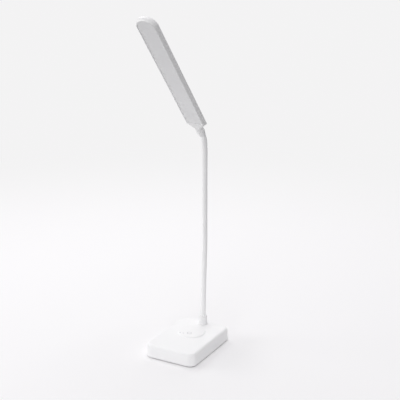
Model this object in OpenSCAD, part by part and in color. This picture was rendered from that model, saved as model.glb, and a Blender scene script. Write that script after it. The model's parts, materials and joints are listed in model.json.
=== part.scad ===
// Gooseneck LED desk lamp: a weighted rounded base with a touch button, a thin sleeved neck that
// bends anywhere along its length, and a long flat light head with a milky front panel.
// Origin: the centre of the base's footprint on the table. +Z is up and -Y is the front.

/* [Base] */
// Width of the base, side to side
base_w = 73.4; // [70:0.2:110]
// Depth of the base, front to back
base_d = 103; // [98:1:150]
// Height of the base above the table
base_h = 17.9; // [16.6:0.1:26]
// Radius of the base's upright corners
base_corner_r = 10; // [6:0.5:12]
// Radius of the soft edge round the base's top
base_edge_r = 2.6; // [1:0.1:3.5]
// Radius of the small edge round the base's underside
base_foot_r = 0.8; // [0.4:0.1:1.4]
// How far each side of the base leans in from its foot to its top
base_draft = 0.5; // [0:0.1:0.8]
// Wall of the base cover
cover_wall = 2; // [1.6:0.1:2.6]
// Thickness of the base plate
plate_t = 1.8; // [1.4:0.1:2.4]
// Thickness of the non-slip pad
pad_t = 1.2; // [0.9:0.1:2]
// How far the pad stands below the base plate
pad_proud = 0.8; // [0.4:0.1:0.8]
// Distance from the base's edge to the pad's edge
pad_margin = 6; // [4:0.5:12]
// Room between each base screw's cup and the rounded corner beside it
screw_room = 0.6; // [0.4:0.1:1.5]

/* [Touch button] */
// Diameter of the raised touch button
button_d = 37; // [30:1:40]
// Height of the touch button above the cover's top
button_h = 1.2; // [0.6:0.1:1.6]
// Width of the button's rounded edge
button_edge_w = 2.8; // [1.8:0.1:3.2]
// Distance of the button's centre behind the base's centre
button_y = 10; // [4:0.5:14]
// Diameter of the power mark
mark_d = 6.4; // [5:0.1:8]
// Distance of the power mark in front of the button's centre
mark_forward = 6; // [4:0.5:7]
// Diameter of each indicator light
pipe_d = 1.6; // [1.2:0.1:2]
// Diameter of the electrode under the button
electrode_d = 22; // [14:0.5:23]

/* [Inside the base] */
// Thickness of the steel ballast plate
ballast_t = 5.6; // [3:0.1:6]
// Length of the ballast plate, front to back
ballast_d = 43; // [30:1:44]
// Width of the battery
battery_w = 50; // [30:1:54]
// Length of the battery, front to back
battery_d = 32; // [20:1:34]
// Thickness of the battery
battery_t = 4.8; // [3:0.1:5]
// Thickness of the control board
board_t = 1.2; // [0.8:0.1:1.6]
// Height of the posts under the control board
board_post_h = 3.6; // [3:0.1:4]
// Width of the control board
board_w = 48; // [44:1:54]
// Distance of the charging socket to the left of the neck
socket_side = 17; // [16:0.5:19]

/* [Neck] */
// Outer diameter of the neck's sleeve
sleeve_d = 7; // [6:0.1:7.4]
// Outer diameter of the neck's steel core
core_d = 4.9; // [4.2:0.1:5.2]
// Bore of the neck's steel core
core_bore = 3.2; // [2.8:0.1:3.5]
// Diameter of each wire
wire_d = 1.1; // [0.8:0.05:1.25]
// Length of the neck from the collar's top to the head
neck_reach = 253; // [200:1:320]
// Distance of the neck's axis in front of the base's rear face
neck_inset = 10; // [10:0.5:16]
// Height of the collar
collar_h = 12.5; // [10:0.5:18]
// Diameter of the collar's flared foot
collar_foot_d = 13.8; // [13:0.1:18]
// Diameter of the collar's top
collar_top_d = 10.8; // [10.4:0.1:13]
// Clearance in the neck's ball-shaped joints
joint_gap = 0.3; // [0.25:0.05:0.4]
// Backward lean of the neck's lower part as it stands, in degrees
neck_lean = 3; // [0:0.1:4]
// Forward tilt of the head as it stands, in degrees
head_tilt = 39; // [0:1:42]

/* [Head] */
// Length of the head from its mouth to its tip
head_len = 222; // [180:1:260]
// Width of the head at its tip
head_w = 27; // [25:0.2:36]
// How much narrower the head is at its shoulders than at its tip
head_taper = 1.4; // [0:0.1:2]
// Thickness of the head
head_t = 8.6; // [8.5:0.1:11]
// Wall of the head's shells
head_wall = 1.4; // [1.2:0.1:1.5]
// Radius along the head's edges
head_edge_r = 1.2; // [0.5:0.1:1.5]
// Radius of the two corners where the shoulders begin
shoulder_corner_r = 2.6; // [2.2:0.1:4]
// Share of the thickness that belongs to the front frame
frame_share = 0.46; // [0.4:0.01:0.52]
// Width of the frame's rim round the diffuser
rim_w = 2.2; // [1.8:0.1:3]
// Thickness of the diffuser
diffuser_t = 1.2; // [0.9:0.1:1.4]
// How far the diffuser lies below the frame's rim
diffuser_recess = 0.5; // [0.1:0.1:0.7]
// Gap between the frame and the back shell
seam_w = 0.3; // [0.2:0.05:0.5]
// Length of the spigot that takes the neck
spigot_len = 15.5; // [14:0.5:20]
// Largest diameter of the spigot
spigot_d = 10.4; // [10.2:0.1:12]
// Diameter of the spigot's mouth
mouth_d = 8.8; // [8.4:0.1:10]
// Length of the sloping shoulders
shoulder_len = 12; // [8:0.5:16]
// Number of LEDs in each of the two rows
leds_in_row = 14; // [6:1:18]
// Width of the LED board
led_board_w = 14; // [12:0.5:16]

/* [Hidden] */
// The neck is cut into short stiff lengths that meet in ball-shaped joints
joints = 12;
lengths = joints + 1;
function two(i) = i < 10 ? str("0", i) : str(i);

// Small clearances and overlaps
fit = 0.15;
snug = 0.05;
cut = 1;
round_fn = 64;
hull_fn = 32;
arc_steps = 5;

// Levels inside the base
plate_z = pad_proud;
plate_top = plate_z + plate_t;
ceiling_z = base_h - cover_wall;
pad_sink = pad_t - pad_proud;
button_top = base_h + button_h;
pocket_z = ceiling_z + button_h;
inner_w = base_w - 2 * cover_wall;
inner_d = base_d - 2 * cover_wall;

// Axis of the neck, and the nut under it
neck_x = 0;
neck_y = base_d / 2 - neck_inset;
nut_across = 13;

// Base screws
screw_head_d = 5.2;
screw_head_h = 1.6;
screw_shank_d = 2.6;
screw_len = 7;
screw_seat_t = 1.3;
screw_head_z = plate_z + pad_sink + fit;
screw_seat_z = screw_head_z + screw_head_h;
boss_foot_z = screw_seat_z + screw_seat_t;
screw_hole_len = screw_len - screw_seat_t + 0.5;
cup_d = screw_head_d + 2.4;
boss_d = 6.4;
screw_inset = base_corner_r - (base_corner_r - cover_wall - fit - cup_d / 2 - screw_room) / sqrt(2);
screw_x = base_w / 2 - screw_inset;
screw_y = base_d / 2 - screw_inset;

// Ballast and battery
ballast_front = -inner_d / 2 + 1;
ballast_back = ballast_front + ballast_d;
ballast_w = inner_w - 4;
ballast_top = plate_top + ballast_t;
peg_d = 4;
peg_cap_d = 6.4;
peg_cap_h = 0.4;
peg_x = ballast_w / 2 - 4;
peg_y = (ballast_front + ballast_back) / 2;
foam_t = 0.5;
foam_margin = 4;
battery_shift = 1;
battery_y = (ballast_front + ballast_back) / 2 + battery_shift;
battery_z = ballast_top + foam_t;
battery_edge_r = 1.5;

// Control board, with a tail that carries the socket to the rear wall
board_z = plate_top + board_post_h;
board_top = board_z + board_t;
board_front = ballast_back + 3;
board_back = neck_y - nut_across;
tail_w = 13;
tail_back = base_d / 2 - cover_wall - 0.6;
socket_x = neck_x - socket_side;
board_screw_x = board_w / 2 - 4;
board_screw_y = board_front + 4;
tail_screw_y = board_back - 3;
small_screw_d = 1.6;
small_head_d = 3;
small_head_h = 0.7;
board_post_d = 5;

// Charging socket
socket_w = 9;
socket_h = 3.2;
socket_len = 7.4;
socket_wall = 0.35;
socket_mouth_z = board_top + socket_h / 2;
socket_back = base_d / 2 - 0.5;
tongue_w = 6.6;
tongue_h = 0.7;
tongue_inset = 0.8;

// Connectors and chips on the board
plug_w = 6;
plug_d = 4.5;
plug_h = 4;
battery_plug_x = board_w / 2 - 13;
lamp_plug_x = neck_x;
plug_inset = 0.6;
battery_plug_y = board_front + plug_inset;
lamp_plug_y = board_back - plug_d - plug_inset;
main_chip_w = 6;
touch_chip_w = 4.6;
charge_chip_w = 3.6;
chip_h = 1.1;
chip_space = 5;
chip_row_y = (board_front + board_back) / 2;
capacitor_d = 6;
capacitor_h = 3;
capacitor_inset = 11;
signal_led_w = 1.4;
signal_led_h = 0.7;
resistor_w = 1;
resistor_l = 1.8;
resistor_h = 0.6;
resistor_pitch = 2.2;

// Neck mounting stack
thread_d = 8;
ferrule_wall = 0.4;
socket_d = sleeve_d + 2 * fit;
ferrule_d = socket_d + 2 * ferrule_wall;
ferrule_bore = core_bore + 0.6;
flange_d = collar_foot_d - 3;
flange_h = 1.6;
neck_foot_z = base_h + flange_h + 1;
ferrule_top = base_h + collar_h - 1.8;
washer_t = 0.9;
washer_d = 14;
nut_h = 4.5;
thread_end_z = ceiling_z - washer_t - nut_h - 1.2;

// Path of the neck: the joint points and the heading of each length, in degrees forward
mouth_gap = 3.5;
first_rise = 3.8;
top_pitch = 9;
second_pitch = 13;
first_z = base_h + collar_h + first_rise;
main_pitch = (neck_reach - first_rise - mouth_gap - top_pitch - second_pitch) / (joints - 3);
lean_end = 5;
top_share = 0.66;
second_share = 0.26;
third_share = 0.08;
function turn(i) =
    i == 1 ? -neck_lean :
    i == lean_end ? neck_lean :
    i == joints - 2 ? head_tilt * third_share :
    i == joints - 1 ? head_tilt * second_share :
    i == joints ? head_tilt * top_share : 0;
function heading(i) = i == 0 ? 0 : heading(i - 1) + turn(i);
function pitch(i) = i == joints - 1 ? top_pitch : i == joints - 2 ? second_pitch : main_pitch;
function along(angle) = [0, -sin(angle), cos(angle)];
function joint_point(i) =
    i == 1 ? [neck_x, neck_y, first_z] : joint_point(i - 1) + pitch(i - 1) * along(heading(i - 1));
mouth = joint_point(joints) + mouth_gap * along(heading(joints));
ball_r = sleeve_d / 2 - 0.05;
cup_r = ball_r + joint_gap;
sleeve_bore = core_d + 2 * snug;
wire_gap = 0.1;
wire_x = (wire_d + wire_gap) / 2;

// Head, in its own frame: Z runs from the mouth to the tip, and the light leaves towards -Y
face_y = -head_t / 2;
back_y = head_t / 2;
split_y = face_y + frame_share * head_t;
back_start_z = spigot_len + 0.6;
slab_z = spigot_len + shoulder_len;
tip_r = head_w / 2;
shoulder_w = head_w - head_taper;
tip_z = head_len - tip_r;
rebate = diffuser_recess + diffuser_t + fit;
ledge_w = 1.1;
ledge_t = 0.8;
diffuser_gap = 0.12;
head_socket_z = 6;
ferrule_end_z = spigot_len - 2;
neck_end_z = ferrule_end_z - 1.5;
head_ferrule_bore = ferrule_d + 2 * fit;
tail_tube_d = 4.4;
tail_tube_bore = 3;
tail_tube_end = slab_z - 0.5;
led_board_t = 0.8;
led_board_back_y = back_y - head_wall - 0.4;
led_board_face_y = led_board_back_y - led_board_t;
led_board_start = slab_z + 6;
led_board_end = tip_z + 2;
led_margin = 6;
led_w = 3.5;
led_l = 2.8;
led_h = 0.7;
led_pitch = (led_board_end - led_board_start - 2 * led_margin) / (leds_in_row - 1);
led_row_inset = 3.4;
led_row_x = led_board_w / 2 - led_row_inset;
reflector_t = 0.3;
led_screw_len = 1.9;
head_post_d = 3.4;
lead_pad_x = 3;
lead_pad_l = 2;
led_screw_places = [for (share = [0.5, leds_in_row / 2 - 0.5, leds_in_row - 1.5]) led_z(share)];
clamp_w = 12;
clamp_l = 3.5;
clamp_z = tail_tube_end - clamp_l - 0.6;
clamp_wall = 0.5;
clamp_screw_x = clamp_w / 2 - 1.9;
clamp_tab_y = 1.2;
clamp_tab_t = 0.5;
clamp_screw_depth = 1.6;

// Colours
white = [0.96, 0.96, 0.96];
sleeve_white = [0.93, 0.93, 0.94];
milky = [0.84, 0.84, 0.85];
steel = [0.72, 0.73, 0.75];
dark_steel = [0.45, 0.46, 0.48];
rubber_grey = [0.55, 0.56, 0.57];
board_green = [0.1, 0.42, 0.25];
chip_black = [0.08, 0.08, 0.09];
foil_blue = [0.35, 0.5, 0.7];
copper = [0.8, 0.5, 0.3];
wire_red = [0.75, 0.12, 0.1];
led_yellow = [0.95, 0.9, 0.6];

// ---- Shapes that repeat ----

// A quarter circle round a disc's edge, from an angle
function rim_arc(r, z, e, from) = [
    for (k = [0:arc_steps])
        let (angle = from + 90 * k / arc_steps) [r - e + e * cos(angle), z + e * sin(angle)]
];

// A disc with rounded rims, from level z0 to z1, whose side leans in towards its top
module rounded_disc(r, z0, z1, e_low, e_high, lean) {
    rotate_extrude($fn = hull_fn)
        polygon(concat([[0, z0]], rim_arc(r, z0 + e_low, e_low, -90),
                       rim_arc(r - lean, z1 - e_high, e_high, 0), [[0, z1]]));
}

// A block with four round upright corners and soft upper and lower edges
module soft_block(w, d, z0, z1, r, e_low, e_high, lean) {
    hull()
        for (x = [-1, 1], y = [-1, 1])
            translate([x * (w / 2 - r), y * (d / 2 - r), 0])
                rounded_disc(r, z0, z1, e_low, e_high, lean);
}

// A plate with four round corners
module round_plate(w, d, t, r) {
    for (x = [-1, 1], y = [-1, 1])
        translate([x * (w / 2 - r), y * (d / 2 - r), 0])
            cylinder(h = t, r = r, $fn = round_fn);
    translate([-w / 2 + r, -d / 2, 0])
        cube([w - 2 * r, d, t]);
    translate([-w / 2, -d / 2 + r, 0])
        cube([w, d - 2 * r, t]);
}

module at_four(x, y) {
    for (sx = [-1, 1], sy = [-1, 1])
        translate([sx * x, sy * y, 0])
            children();
}

// A round bar from point a to point b, which may reach a little past either
module bar(a, b, d, before, after) {
    v = b - a;
    translate(a)
        rotate([0, acos(v[2] / norm(v)), atan2(v[1], v[0])])
            translate([0, 0, -before])
                cylinder(h = norm(v) + before + after, d = d, $fn = hull_fn);
}

// A wire through a list of points, with a small knuckle at each bend
bend_reach = 0.08;
bend_grow = 0.07;
module wire(points, d) {
    last = len(points) - 1;
    for (i = [1:last])
        bar(points[i - 1], points[i], d, i > 1 ? bend_reach : 0, i < last ? bend_reach : 0);
    for (i = [1:last - 1])
        translate(points[i])
            sphere(d = d + bend_grow, $fn = hull_fn);
}

module in_head() {
    translate(mouth)
        rotate([heading(joints), 0, 0])
            children();
}

// ---- Base ----

module base_cover() {
    color(white)
        difference() {
            union() {
                difference() {
                    union() {
                        soft_block(base_w, base_d, pad_proud, base_h, base_corner_r, base_foot_r,
                                   base_edge_r, base_draft);
                        touch_button();
                    }
                    translate([0, 0, -cut])
                        round_plate(inner_w, inner_d, ceiling_z + cut, base_corner_r - cover_wall);
                }
                at_four(screw_x, screw_y)
                    translate([0, 0, boss_foot_z + snug])
                        cylinder(h = ceiling_z - boss_foot_z, d = boss_d, $fn = round_fn);
            }
            at_four(screw_x, screw_y)
                translate([0, 0, boss_foot_z - cut])
                    cylinder(h = screw_hole_len + cut, d = screw_shank_d + 2 * snug, $fn = round_fn);
            translate([0, button_y, ceiling_z - cut])
                cylinder(h = button_h + cut, d = button_d - 2 * cover_wall, $fn = round_fn);
            translate([0, button_y - mark_forward, 0])
                mark_shape(mark_floor_z, cut + cover_wall, snug);
            for (x = pipe_places)
                translate([x, pipe_y, 0])
                    cylinder(h = button_top + cut, d = pipe_d + 2 * snug, $fn = round_fn);
            translate([neck_x, neck_y, ceiling_z - cut])
                cylinder(h = cover_wall + 2 * cut, d = thread_d + 2 * fit, $fn = round_fn);
            translate([socket_x, base_d / 2 + cut, socket_mouth_z])
                rotate([90, 0, 0])
                    slot_shape(socket_w + 2 * fit, socket_h + 2 * fit, cover_wall + 2 * cut);
        }
}

// The button stands on the cover's top. Its edge is a quarter of an ellipse that ends level
// with its flat top.
button_flat_r = button_d / 2 - button_edge_w;
button_steps = 12;
module touch_button() {
    translate([0, button_y, base_h - cover_wall / 2])
        cylinder(h = cover_wall / 2, r = button_flat_r, $fn = 2 * round_fn);
    translate([0, button_y, base_h])
        rotate_extrude($fn = 2 * round_fn)
            polygon(concat(
                [[0, 0]],
                [for (k = [0:button_steps])
                    [button_flat_r + button_edge_w * cos(90 * k / button_steps),
                     button_h * sin(90 * k / button_steps)]],
                [[0, button_h]]));
}

// Level of the button's surface at a distance from its centre
function button_level(r) =
    r < button_flat_r ? button_top :
    base_h + button_h * sqrt(1 - pow(min(1, (r - button_flat_r) / button_edge_w), 2));

// The power mark: an open ring with a bar in its opening
mark_line = 0.8;
mark_depth = 0.4;
mark_opening = 70;
mark_floor_z = button_top - mark_depth;
module mark_shape(z, h, grow) {
    translate([0, 0, z]) {
        rotate([0, 0, 90 + mark_opening / 2])
            rotate_extrude(angle = 360 - mark_opening, $fn = round_fn)
                translate([mark_d / 2 - mark_line - grow, 0])
                    square([mark_line + 2 * grow, h]);
        translate([-mark_line / 2 - grow, mark_d / 5, 0])
            cube([mark_line + 2 * grow, mark_d / 3 + grow, h]);
    }
}

module power_mark() {
    color(rubber_grey)
        translate([0, button_y - mark_forward, 0])
            mark_shape(mark_floor_z + snug, mark_depth - 2 * snug, 0);
}

// Two light pipes at the button's front left, in holes through the cover
pipe_places = [-button_d * 0.32, -button_d * 0.19];
pipe_y = button_y - button_d * 0.27;
pipe_len = 6.5;
module indicator_lights() {
    color(milky)
        for (x = pipe_places)
            translate([x, pipe_y, button_level(norm([x, pipe_y - button_y]) + pipe_d / 2) - pipe_len])
                cylinder(h = pipe_len - snug, d = pipe_d, $fn = round_fn);
}

module base_plate() {
    color(white) {
        difference() {
            union() {
                translate([0, 0, plate_z])
                    round_plate(inner_w - 2 * fit, inner_d - 2 * fit, plate_t, base_corner_r - cover_wall);
                at_four(screw_x, screw_y)
                    translate([0, 0, plate_z])
                        cylinder(h = boss_foot_z - plate_z, d = cup_d, $fn = round_fn);
                for (p = board_screw_places)
                    translate([p[0], p[1], plate_z])
                        cylinder(h = board_z - plate_z, d = board_post_d, $fn = round_fn);
                translate([socket_x, tail_back - board_post_d / 2, plate_z])
                    cylinder(h = board_z - plate_z, d = board_post_d, $fn = round_fn);
                for (x = [-peg_x, peg_x])
                    translate([x, peg_y, plate_z]) {
                        cylinder(h = ballast_top - plate_z + peg_cap_h, d = peg_d, $fn = round_fn);
                        translate([0, 0, ballast_top - plate_z + snug])
                            cylinder(h = peg_cap_h, d = peg_cap_d, $fn = round_fn);
                    }
            }
            translate([0, 0, plate_z - cut])
                round_plate(pad_w + 2 * fit, pad_d + 2 * fit, pad_sink + cut, pad_corner_r);
            at_four(screw_x, screw_y) {
                translate([0, 0, plate_z - cut])
                    cylinder(h = screw_seat_z - plate_z + cut, d = screw_head_d + 2 * fit, $fn = round_fn);
                cylinder(h = boss_foot_z + cut, d = screw_shank_d + 2 * fit, $fn = round_fn);
            }
            for (p = board_screw_places)
                translate([p[0], p[1], plate_top])
                    cylinder(h = board_post_h + cut, d = small_screw_d + 2 * snug, $fn = round_fn);
        }
    }
}

pad_w = base_w - 2 * pad_margin;
pad_d = base_d - 2 * pad_margin;
pad_corner_r = 5;
module non_slip_pad() {
    color(rubber_grey)
        round_plate(pad_w, pad_d, pad_t, pad_corner_r);
}

module base_screws() {
    color(dark_steel)
        at_four(screw_x, screw_y)
            translate([0, 0, screw_head_z]) {
                difference() {
                    cylinder(h = screw_head_h - snug, d = screw_head_d, $fn = round_fn);
                    cross_recess(screw_head_d);
                }
                cylinder(h = screw_head_h + screw_len, d = screw_shank_d, $fn = round_fn);
            }
}

// A shallow cross in a screw's head, cut from below
module cross_recess(head_d) {
    arm = head_d * 0.6;
    slit = head_d * 0.16;
    for (turn_by = [0, 90])
        rotate([0, 0, turn_by])
            translate([-arm / 2, -slit / 2, -cut])
                cube([arm, slit, cut + head_d * 0.12]);
}

module ballast_plate() {
    color(steel)
        difference() {
            translate([-ballast_w / 2, ballast_front, plate_top + snug])
                cube([ballast_w, ballast_d, ballast_t - snug]);
            at_four(screw_x, screw_y)
                cylinder(h = ballast_top + cut, d = cup_d + 1.6, $fn = round_fn);
            at_four(ballast_w / 2, -ballast_front)
                cylinder(h = ballast_top + cut, r = base_corner_r - 1, $fn = round_fn);
            for (x = [-peg_x, peg_x])
                translate([x, peg_y, 0])
                    cylinder(h = ballast_top + cut, d = peg_d + 2 * fit, $fn = round_fn);
        }
}

module battery_pad() {
    color(rubber_grey)
        translate([-battery_w / 2 + foam_margin, battery_y - battery_d / 2 + foam_margin, ballast_top])
            cube([battery_w - 2 * foam_margin, battery_d - 2 * foam_margin, foam_t]);
}

module battery() {
    color(foil_blue)
        translate([0, battery_y, 0])
            soft_block(battery_w, battery_d, battery_z, battery_z + battery_t, battery_edge_r * 1.6,
                       battery_edge_r, battery_edge_r, 0);
}

// ---- Electronics in the base ----

board_screw_places = [
    for (x = [-board_screw_x, board_screw_x], y = [board_screw_y, tail_screw_y]) [x, y]
];

module control_board() {
    color(board_green)
        difference() {
            union() {
                translate([-board_w / 2, board_front, board_z])
                    cube([board_w, board_back - board_front, board_t]);
                translate([socket_x - tail_w / 2, board_back - cut, board_z])
                    cube([tail_w, tail_back - board_back + cut, board_t]);
            }
            for (p = board_screw_places)
                translate([p[0], p[1], 0])
                    cylinder(h = board_top + cut, d = small_screw_d + 2 * fit, $fn = round_fn);
        }
}

module chip(x, y, w, d, h) {
    translate([x - w / 2, y - d / 2, board_top])
        cube([w, d, h]);
}

module board_chips() {
    color(chip_black) {
        chip(-main_chip_w, chip_row_y, main_chip_w, main_chip_w, chip_h);
        chip(-main_chip_w - touch_chip_w - chip_space, chip_row_y, touch_chip_w, touch_chip_w, chip_h);
        chip(socket_x, board_back + charge_chip_w, charge_chip_w, charge_chip_w, chip_h);
        translate([-board_w / 2 + capacitor_inset, board_back - capacitor_d, board_top])
            cylinder(h = capacitor_h, d = capacitor_d, $fn = round_fn);
        for (x = pipe_places)
            chip(x, pipe_y, signal_led_w, signal_led_w, signal_led_h);
        for (k = [1:5])
            chip(resistor_pitch * k, chip_row_y - main_chip_w, resistor_w, resistor_l, resistor_h);
    }
    color(white) {
        translate([battery_plug_x - plug_w / 2, battery_plug_y, board_top])
            cube([plug_w, plug_d, plug_h]);
        translate([lamp_plug_x - plug_w / 2, lamp_plug_y, board_top])
            cube([plug_w, plug_d, plug_h]);
    }
}

module board_screws() {
    color(steel)
        for (p = board_screw_places)
            translate([p[0], p[1], board_top]) {
                cylinder(h = small_head_h, d = small_head_d, $fn = round_fn);
                translate([0, 0, 0.5 - board_t - board_post_h])
                    cylinder(h = board_post_h + board_t, d = small_screw_d, $fn = round_fn);
            }
}

// A slot with round ends, standing on Z
module slot_shape(w, h, len_z) {
    r = h / 2;
    for (x = [-1, 1])
        translate([x * (w / 2 - r), 0, 0])
            cylinder(h = len_z, r = r, $fn = round_fn);
    translate([-w / 2 + r, -r, 0])
        cube([w - h, h, len_z]);
}

module usb_socket() {
    translate([socket_x, socket_back, socket_mouth_z])
        rotate([90, 0, 0]) {
            color(steel)
                difference() {
                    slot_shape(socket_w, socket_h, socket_len);
                    translate([0, 0, -cut])
                        slot_shape(socket_w - 2 * socket_wall, socket_h - 2 * socket_wall,
                                   socket_len - socket_wall + cut);
                }
            color(chip_black)
                translate([-tongue_w / 2, -tongue_h / 2, tongue_inset])
                    cube([tongue_w, tongue_h, socket_len - socket_wall - tongue_inset]);
        }
}

electrode_t = 0.2;
touch_wire_d = 0.8;
touch_pad_x = 5;
touch_pad_y = button_y + 4;
module touch_electrode() {
    color(copper)
        translate([0, button_y, pocket_z - electrode_t])
            cylinder(h = electrode_t, d = electrode_d, $fn = round_fn);
}

module touch_lead() {
    color(copper)
        wire([[0, button_y, pocket_z - electrode_t], [0, button_y, pocket_z - 2 * touch_wire_d],
              [touch_pad_x, touch_pad_y, board_top + 2 * touch_wire_d],
              [touch_pad_x, touch_pad_y, board_top]], touch_wire_d);
}

module battery_leads() {
    lead_z = board_top + plug_h / 2;
    battery_rear = battery_y + battery_d / 2;
    color(wire_red)
        for (side = [-wire_x, wire_x])
            wire([[battery_plug_x + side, battery_rear, battery_z + battery_t / 2],
                  [battery_plug_x + side, battery_rear + 2, battery_z + battery_t / 2],
                  [battery_plug_x + side, battery_plug_y - 1.5, lead_z],
                  [battery_plug_x + side, battery_plug_y, lead_z]], wire_d);
}

module lamp_leads() {
    lead_z = board_top + plug_h / 2;
    plug_rear = lamp_plug_y + plug_d;
    color(wire_red)
        for (side = [-wire_x, wire_x])
            wire([[neck_x + side, neck_y, neck_foot_z],
                  [neck_x + side, neck_y, thread_end_z - 2],
                  [lamp_plug_x + side, plug_rear + 2, lead_z],
                  [lamp_plug_x + side, plug_rear, lead_z]], wire_d);
}

// ---- Neck mounting ----

module lower_ferrule() {
    color(steel)
        translate([neck_x, neck_y, 0])
            difference() {
                union() {
                    translate([0, 0, thread_end_z])
                        cylinder(h = base_h - thread_end_z, d = thread_d, $fn = round_fn);
                    translate([0, 0, base_h])
                        cylinder(h = flange_h, d = flange_d, $fn = round_fn);
                    translate([0, 0, base_h])
                        cylinder(h = ferrule_top - base_h, d = ferrule_d, $fn = round_fn);
                }
                cylinder(h = neck_foot_z, d = ferrule_bore, $fn = round_fn);
                translate([0, 0, neck_foot_z - snug])
                    cylinder(h = collar_h, d = socket_d, $fn = round_fn);
            }
}

module neck_washer() {
    color(steel)
        translate([neck_x, neck_y, ceiling_z - washer_t])
            difference() {
                cylinder(h = washer_t, d = washer_d, $fn = round_fn);
                translate([0, 0, -cut])
                    cylinder(h = washer_t + 2 * cut, d = thread_d + 2 * fit, $fn = round_fn);
                for (k = [0:5])
                    rotate([0, 0, 60 * k])
                        translate([washer_d / 2, 0, -cut])
                            cylinder(h = washer_t + 2 * cut, d = 1.6, $fn = round_fn);
            }
}

module neck_nut() {
    color(steel)
        translate([neck_x, neck_y, ceiling_z - washer_t - nut_h])
            difference() {
                cylinder(h = nut_h, r = nut_across / 2 / cos(30), $fn = 6);
                translate([0, 0, -cut])
                    cylinder(h = nut_h + 2 * cut, d = thread_d + 2 * snug, $fn = round_fn);
            }
}

// The collar's outer face sweeps in from its foot in an arc that ends upright
collar_sweep_h = collar_h * 0.62;
collar_flare = (collar_foot_d - collar_top_d) / 2;
collar_lip_r = 0.9;
module neck_collar() {
    color(white)
        translate([neck_x, neck_y, base_h])
            difference() {
                rotate_extrude($fn = round_fn)
                    polygon(concat(
                        [[0, 0]],
                        [for (k = [0:2 * arc_steps])
                            [collar_top_d / 2 + collar_flare * pow(1 - sin(45 * k / arc_steps), 1.3),
                             collar_sweep_h * (1 - cos(45 * k / arc_steps))]],
                        rim_arc(collar_top_d / 2, collar_h - collar_lip_r, collar_lip_r, 0),
                        [[0, collar_h]]));
                translate([0, 0, -cut])
                    cylinder(h = flange_h + fit + cut, d = flange_d + 2 * fit, $fn = round_fn);
                translate([0, 0, -cut])
                    cylinder(h = ferrule_top - base_h + fit + cut, d = ferrule_d + 2 * snug, $fn = round_fn);
                cylinder(h = collar_h + cut, d = socket_d, $fn = round_fn);
            }
}

// ---- Neck ----

// Length i runs from joint i - 1 to joint i. Its upper end is a ball, and its lower end is
// hollowed round the ball below it. The first starts in the lower ferrule, and the last ends
// in the head's.
function length_of(i) =
    i == 1 ? first_z - neck_foot_z :
    i == lengths ? mouth_gap + neck_end_z : pitch(i - 1);
function start_of(i) = i == 1 ? [neck_x, neck_y, neck_foot_z] : joint_point(i - 1);

module in_length(i) {
    translate(start_of(i))
        rotate([heading(i - 1), 0, 0])
            children();
}

module neck_body(i, d) {
    difference() {
        union() {
            cylinder(h = length_of(i), d = d, $fn = round_fn);
            if (i < lengths)
                translate([0, 0, length_of(i)])
                    intersection() {
                        sphere(r = ball_r, $fn = round_fn);
                        cylinder(h = ball_r, d = d, $fn = round_fn);
                    }
        }
        if (i > 1)
            sphere(r = cup_r, $fn = round_fn);
    }
}

module neck_sleeve(i) {
    color(sleeve_white)
        in_length(i)
            difference() {
                neck_body(i, sleeve_d);
                translate([0, 0, -cut])
                    cylinder(h = length_of(i) + ball_r + 2 * cut, d = sleeve_bore, $fn = round_fn);
            }
}

module neck_core(i) {
    in_length(i) {
        color(steel)
            difference() {
                neck_body(i, core_d);
                translate([0, 0, -cut])
                    cylinder(h = length_of(i) + ball_r + 2 * cut, d = core_bore, $fn = round_fn);
            }
        color(wire_red)
            for (side = [-wire_x, wire_x])
                intersection() {
                    neck_body(i, core_d);
                    translate([side, 0, -cut])
                        cylinder(h = length_of(i) + ball_r + 2 * cut, d = wire_d, $fn = hull_fn);
                }
    }
}

// ---- Head, all in its own frame ----

// A disc standing across the head, from level y0 to y1
module cross_disc(r, y0, y1, e) {
    rotate([-90, 0, 0])
        rounded_disc(r, y0, y1, e, e, 0);
}

// The two discs at the corners where the shoulders begin
module corner_discs(inset, y0, y1) {
    e = max(head_edge_r - inset, 0.2);
    r = max(shoulder_corner_r - inset, e + 0.2);
    for (x = [-1, 1])
        translate([x * (shoulder_w / 2 - inset - r), 0, slab_z + shoulder_corner_r])
            cross_disc(r, y0, y1, e);
}

// The slab, drawn in by an inset on its sides and from level y0 to y1
module slab(inset, y0, y1) {
    hull() {
        translate([0, 0, tip_z])
            cross_disc(tip_r - inset, y0, y1, max(head_edge_r - inset, 0.2));
        corner_discs(inset, y0, y1);
    }
}

// The shoulders, from the slab down to the top of the spigot
module shoulders(inset) {
    hull() {
        corner_discs(inset, face_y + inset, back_y - inset);
        translate([0, 0, spigot_len - 1])
            cylinder(h = 1, d = head_t - 2 * inset, $fn = hull_fn);
    }
}

module head_outside() {
    slab(0, face_y, back_y);
    shoulders(0);
}

module head_hollow() {
    slab(head_wall, face_y + rebate + ledge_t, back_y - head_wall);
    difference() {
        shoulders(head_wall);
        translate([-spigot_d, -spigot_d, 0])
            cube([2 * spigot_d, 2 * spigot_d, back_start_z + head_wall]);
    }
}

// The spigot: a short barrel that narrows to its mouth and has a waist under the shoulders
module spigot() {
    mouth_edge = 0.6;
    barrel_z = spigot_len * 0.55;
    rotate_extrude($fn = round_fn)
        polygon([
            [0, 0], [mouth_d / 2 - mouth_edge, 0], [mouth_d / 2, mouth_edge],
            [spigot_d / 2 - 0.15, barrel_z], [spigot_d / 2, barrel_z + 2],
            [spigot_d / 2 - 0.1, spigot_len - 1.6], [head_t / 2, spigot_len], [0, spigot_len]
        ]);
}

// Round posts on the back shell that carry the LED board and the clamp
module head_posts() {
    for (z = led_screw_places)
        post([0, led_board_back_y, z]);
    for (x = [-clamp_screw_x, clamp_screw_x])
        post([x, clamp_tab_y + clamp_tab_t, clamp_z + clamp_l / 2]);
}

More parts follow.
